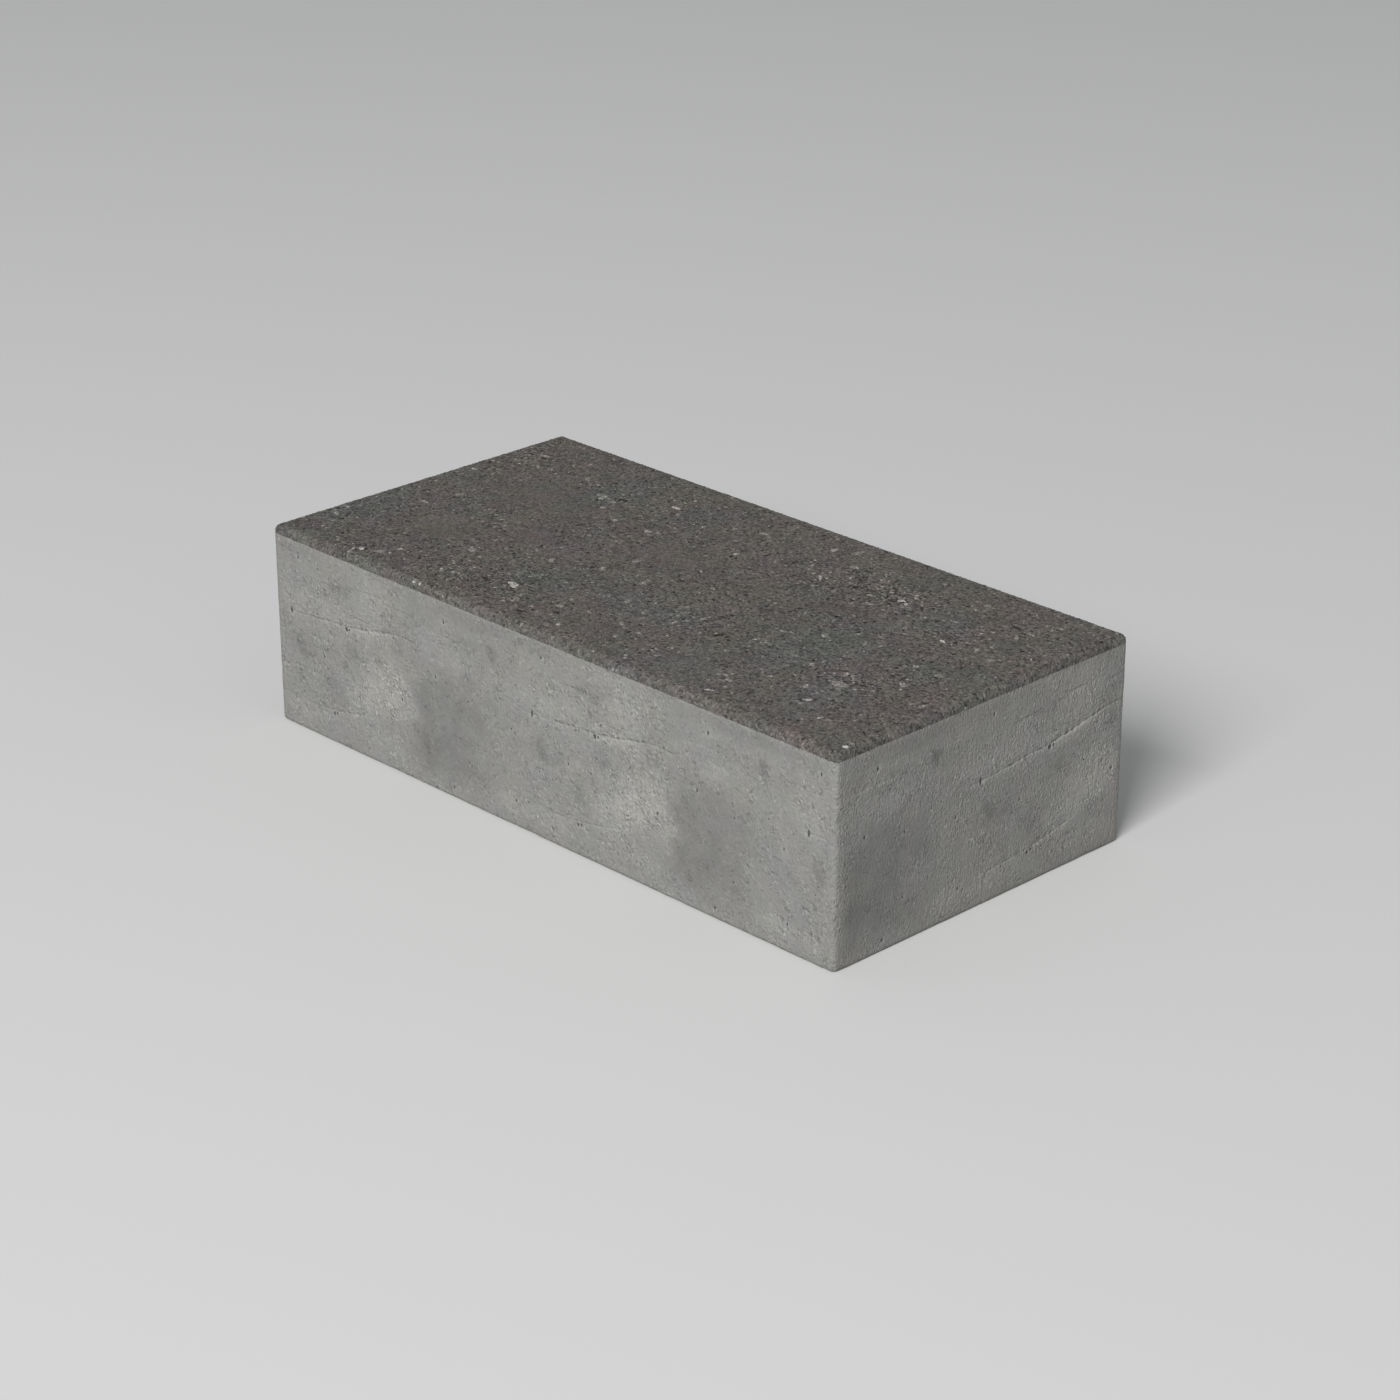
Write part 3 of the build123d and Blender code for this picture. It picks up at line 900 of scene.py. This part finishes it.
# Each chip: its middle from the block's middle, length, width, turn in degrees and tone
CHIPS = (
    (-27.6, -37.5, 5.5, 2.6, -20, PALE), (14.7, 43.3, 3.2, 2.1, 90, PALE), (-39.5, 35.0, 3.5, 1.3, 0, PALE),
    (53.3, 29.0, 3.0, 1.2, 8, PALE), (55.8, 28.2, 2.4, 1.1, -35, PALE), (26.4, 25.7, 3.2, 1.1, -42, PALE),
    (-60.0, 25.2, 2.2, 1.3, 30, DULL), (-58.4, 26.4, 1.8, 1.2, -20, DULL),
    (-56.1, 25.2, 2.6, 1.8, 79, DULL), (-92.8, 30.2, 3.0, 1.2, -35, DULL),
    (-77.2, -49.5, 2.6, 1.5, 0, PALE), (-31.4, 16.1, 2.8, 1.7, 0, DULL), (-44.5, 15.9, 1.6, 1.2, 20, DULL),
    (-45.8, -43.0, 2.2, 1.4, -30, DULL), (-66.9, -6.5, 1.7, 1.1, 40, DULL),
    (-93.5, -12.8, 2.4, 1.6, 0, DULL), (80.0, 15.9, 2.8, 1.3, -20, PALE),
    (-104.7, 15.6, 2.0, 1.2, 10, DULL), (-103.8, -36.9, 2.2, 1.5, -25, DULL),
    (75.8, -30.5, 3.0, 1.5, -65, DULL), (-1.9, 21.9, 2.2, 1.4, 35, DULL),
    (92.1, -12.6, 3.2, 2.2, -30, DULL), (108.0, -50.2, 1.8, 1.4, 20, PALE),
    (32.5, 31.4, 2.2, 1.2, -61, DULL), (43.6, 20.7, 1.3, 1.0, 0, DULL), (46.0, -8.8, 2.1, 1.2, -20, DULL),
    (94.4, -1.5, 3.2, 2.4, -51, SOFT), (56.2, -3.4, 2.6, 1.6, 0, SOFT), (19.4, -20.9, 1.3, 1.0, 0, DULL),
    (67.1, -19.6, 2.7, 1.0, -17, DULL), (77.5, -17.9, 3.0, 1.8, -65, DULL),
    (80.7, -23.2, 5.8, 3.2, 15, DIM), (81.8, -36.2, 3.4, 1.4, 35, SOFT), (65.0, -32.5, 1.8, 1.1, 25, DULL),
    (-48.8, -54.2, 2.0, 1.4, 80, DULL), (-46.6, -54.3, 1.6, 1.0, 90, DIM),
    (-5.4, -54.3, 1.8, 1.0, 85, DULL), (-69.0, -46.0, 1.8, 1.0, -40, DULL),
    (-73.0, -48.0, 1.4, 1.0, 10, DULL), (-91.3, -1.6, 3.1, 2.6, -81, DIM),
    (-71.6, -46.9, 3.2, 2.2, 85, SOFT), (21.2, 46.5, 4.2, 2.0, 75, DIM), (-61.5, 27.0, 4.0, 2.4, 7, DIM),
    (-54.9, -28.3, 3.5, 2.1, -17, DIM), (27.8, 37.6, 3.5, 2.0, 0, SOFT), (-17.3, -1.4, 3.2, 2.4, -84, DIM),
    (-98.3, 37.8, 4.5, 1.5, 10, SOFT), (90.2, 17.9, 4.0, 1.8, -69, DIM),
    (-19.6, -12.4, 2.9, 1.7, -12, SOFT), (59.5, -42.0, 2.8, 2.0, 47, SOFT),
    (-34.0, -17.8, 3.3, 1.7, -65, DULL), (2.6, -23.1, 3.6, 2.1, -75, DIM), (-7.6, -38.5, 3.0, 2.2, -7, DIM),
    (91.9, 31.3, 3.8, 1.4, -57, SOFT), (86.6, -1.6, 2.2, 1.5, 72, DULL), (-7.9, 38.2, 3.0, 1.4, 24, SOFT),
    (71.6, 42.9, 2.7, 1.9, 23, DIM), (-69.5, -42.0, 2.0, 1.6, 23, DULL), (1.7, -47.4, 2.0, 1.5, -31, SOFT),
    (66.8, 15.9, 2.0, 1.5, -44, SOFT), (-97.6, 36.2, 3.4, 1.5, -6, DARK), (87.6, 36.6, 3.4, 1.4, 0, DARK),
    (-54.9, 28.4, 3.2, 2.0, 31, DARK), (51.9, 38.8, 2.6, 2.0, -38, DUSKY),
    (28.4, -13.2, 2.6, 1.2, 21, DARK), (89.4, -9.4, 2.0, 1.2, 50, DARK),
    (-43.8, -12.5, 2.2, 1.0, -45, DARK), (-4.6, -42.4, 2.3, 1.5, 0, DARK),
    (36.3, -22.8, 3.6, 1.7, 71, DARK), (3.9, -29.1, 5.6, 1.6, 1, DUSKY), (28.6, 17.3, 3.4, 1.7, -74, DUSKY),
    (78.4, 19.1, 4.0, 2.6, -55, DUSKY), (-42.2, -39.8, 4.6, 1.6, -28, DUSKY),
    (-11.9, -48.4, 3.7, 1.5, 29, DARK), (-64.9, -43.3, 5.0, 1.6, -14, DUSKY),
    (20.8, 25.1, 2.7, 2.1, 87, DUSKY), (73.5, -18.3, 4.4, 1.9, 52, DUSKY),
    (-26.1, -32.2, 4.6, 2.2, 57, DUSKY), (67.1, 29.0, 5.0, 1.6, 30, DUSKY),
    (-51.8, 24.8, 5.2, 1.3, -27, DUSKY), (-41.5, -0.7, 2.7, 2.0, -20, DUSKY),
    (-43.2, -29.4, 3.4, 2.0, 28, DUSKY), (49.3, 8.3, 3.6, 1.2, 0, DARK),
    (82.7, -50.0, 4.0, 1.2, -15, DUSKY), (-49.6, -37.7, 3.4, 2.0, -12, DUSKY),
    (83.5, -20.8, 3.0, 1.5, -79, DUSKY), (43.0, 25.1, 2.4, 1.8, -55, DUSKY),
    (-36.1, -26.5, 3.6, 1.6, -24, DUSKY), (-14.0, -16.9, 3.3, 1.8, -31, DUSKY),
    (-33.1, 19.0, 3.7, 2.2, -76, DUSKY), (-41.5, -44.9, 3.0, 1.3, -17, DUSKY),
    (69.8, -0.7, 3.8, 2.4, 3, PEBBLE), (23.0, -47.0, 3.6, 2.4, -30, PEBBLE),
    (-22.5, 23.0, 4.0, 2.6, 10, PEBBLE), (46.7, -11.0, 3.6, 2.2, 60, PEBBLE),
    (91.0, 25.0, 3.8, 2.6, -20, PEBBLE), (-1.0, -19.5, 3.6, 2.2, 40, PEBBLE),
    (43.0, -41.7, 3.8, 2.6, 15, PEBBLE),
)
# The small splinters between them, at random: how many, how far from the middle, how long, how wide for
# their length, how far turned, how pale or dark, and the share of dark ones
SPLINTERS = 100
SPLINTER_FIELD = (106.0, 51.0)
SPLINTER_LENGTH = (1.2, 2.6)
SPLINTER_WIDTH = (0.35, 0.6)
SPLINTER_TURN = (-90.0, 90.0)
SPLINTER_PALE = (0.77, 0.90)
SPLINTER_DARK = (0.05, 0.13)
SPLINTER_DARK_SHARE = 0.35


def small_splinters(draw):
    """The small splinters, each as a row like those of the chips."""
    rows = []
    for _ in range(SPLINTERS):
        x, y = (draw.uniform(-half, half) for half in SPLINTER_FIELD)
        length = draw.uniform(*SPLINTER_LENGTH)
        tone = draw.uniform(*(SPLINTER_DARK if draw.random() < SPLINTER_DARK_SHARE else SPLINTER_PALE))
        width = length * draw.uniform(*SPLINTER_WIDTH)
        rows.append((x, y, length, width, draw.uniform(*SPLINTER_TURN), tone))
    return rows


def chip_mesh():
    """All the chips as one mesh: each a low stone with a flat top, a shoulder and a foot in the paste."""
    draw = np.random.default_rng(CHIP_SEED)
    round_once = np.linspace(0.0, math.tau, CHIP_CORNERS, endpoint=False)
    corners = range(CHIP_CORNERS)
    points, faces, tones = [], [], []
    for x, y, length, width, turn, tone in (*CHIPS, *small_splinters(draw)):
        reach = draw.uniform(*CHIP_REACH, CHIP_CORNERS)
        angles = round_once + draw.uniform(-CHIP_JOLT, CHIP_JOLT, CHIP_CORNERS)
        along, across = reach * np.cos(angles) * length / 2, reach * np.sin(angles) * width / 2
        cos, sin = math.cos(math.radians(turn)), math.sin(math.radians(turn))
        first = len(points)
        for share, depth in CHIP_RINGS:
            place_x = (x + share * (along * cos - across * sin)) * MM
            place_y = (y + share * (along * sin + across * cos)) * MM
            points += [(px, py, BLOCK_HIGH[2] - depth) for px, py in zip(place_x, place_y)]
        foot = first + (len(CHIP_RINGS) - 1) * CHIP_CORNERS
        faces.append([first + i for i in corners])
        faces.append([foot + i for i in reversed(corners)])
        for upper in range(first, foot, CHIP_CORNERS):
            lower = upper + CHIP_CORNERS
            for i in corners:
                after = (i + 1) % CHIP_CORNERS
                faces.append([upper + i, lower + i, lower + after, upper + after])
        tones += [tone] * (len(CHIP_RINGS) * CHIP_CORNERS)
    mesh = bpy.data.meshes.new("wearing_chips")
    mesh.from_pydata(points, [], faces)
    keep_values(mesh, "grain_tone", tones)
    keep_values(mesh, "green", [PEBBLE_GREEN if tone == PEBBLE else CHIP_GREEN for tone in tones])
    keep_values(mesh, "mottled", [CHIP_MOTTLE if tone > PEBBLE else 0.0 for tone in tones])
    return mesh


chips = chip_mesh()
pressed_flush(chips, 0.0)
flat_map(chips)
chips.materials.append(grain_finish)
wearing_chips = placed("wearing_chips", chips)
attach(wearing_chips, "root")


# The floor and the light are a plain studio: a pale floor, one large soft light from the left of the camera
# and an even pale surround.
FLOOR_HALF = 4.0
FLOOR_COLOUR = (0.70, 0.70, 0.69, 1.0)
FLOOR_ROUGHNESS = 0.9
FLOOR_CORNERS = ((-1, -1), (1, -1), (1, 1), (-1, 1))
floor_mesh = bpy.data.meshes.new("floor")
floor_points = [(x * FLOOR_HALF, y * FLOOR_HALF, BLOCK_LOW[2]) for x, y in FLOOR_CORNERS]
floor_mesh.from_pydata(floor_points, [], [range(len(FLOOR_CORNERS))])
floor_finish, shader, _ = new_finish("floor")
shader.inputs["Base Color"].default_value = FLOOR_COLOUR
shader.inputs["Roughness"].default_value = FLOOR_ROUGHNESS
floor_mesh.materials.append(floor_finish)
floor = placed("floor", floor_mesh)

KEY_WAY = Vector((0.30, -0.75, 0.60))
KEY_DISTANCE = 3.4
KEY_SIDE = 1.4
KEY_WATTS = 108.0
SURROUND = 0.30
SURROUND_COLOUR = (0.98, 1.0, 1.02, 1.0)
block_middle = Vector((BLOCK_LOW + BLOCK_HIGH) / 2)
key_data = bpy.data.lights.new("key", "AREA")
key_data.size = KEY_SIDE
key_data.energy = KEY_WATTS
key = placed("key", key_data)
key.location = block_middle + KEY_WAY.normalized() * KEY_DISTANCE
key.rotation_euler = KEY_WAY.to_track_quat("Z", "Y").to_euler()
world = bpy.data.worlds.new("surround")
world.use_nodes = True
background = world.node_tree.nodes["Background"]
background.inputs["Color"].default_value = SURROUND_COLOUR
background.inputs["Strength"].default_value = SURROUND
bpy.context.scene.world = world
bpy.context.scene.view_settings.view_transform = "Standard"


# The camera stands where the photograph was taken from, as fitted to the stone's outline in it, and looks a
# little to the right of the block's middle and below it.
CAMERA_AZIMUTH = math.radians(45.780)
CAMERA_ELEVATION = math.radians(23.495)
CAMERA_DISTANCE = 974.79 * MM
CAMERA_RIGHT = 4.28 * MM
CAMERA_DOWN = 6.18 * MM
SENSOR_WIDTH = 36.0
LENS = 91.36
right = Vector((math.cos(CAMERA_AZIMUTH), math.sin(CAMERA_AZIMUTH), 0.0))
level = Vector((math.sin(CAMERA_AZIMUTH), -math.cos(CAMERA_AZIMUTH), 0.0))
back = level * math.cos(CAMERA_ELEVATION) + Vector((0.0, 0.0, math.sin(CAMERA_ELEVATION)))
up = back.cross(right)
camera_data = bpy.data.cameras.new("camera")
camera_data.sensor_width = SENSOR_WIDTH
camera_data.lens = LENS
camera = placed("camera", camera_data)
turn = Matrix((right, up, back)).transposed().to_4x4()
aim = block_middle + right * CAMERA_RIGHT - up * CAMERA_DOWN
camera.matrix_world = Matrix.Translation(aim + back * CAMERA_DISTANCE) @ turn
bpy.context.scene.camera = camera
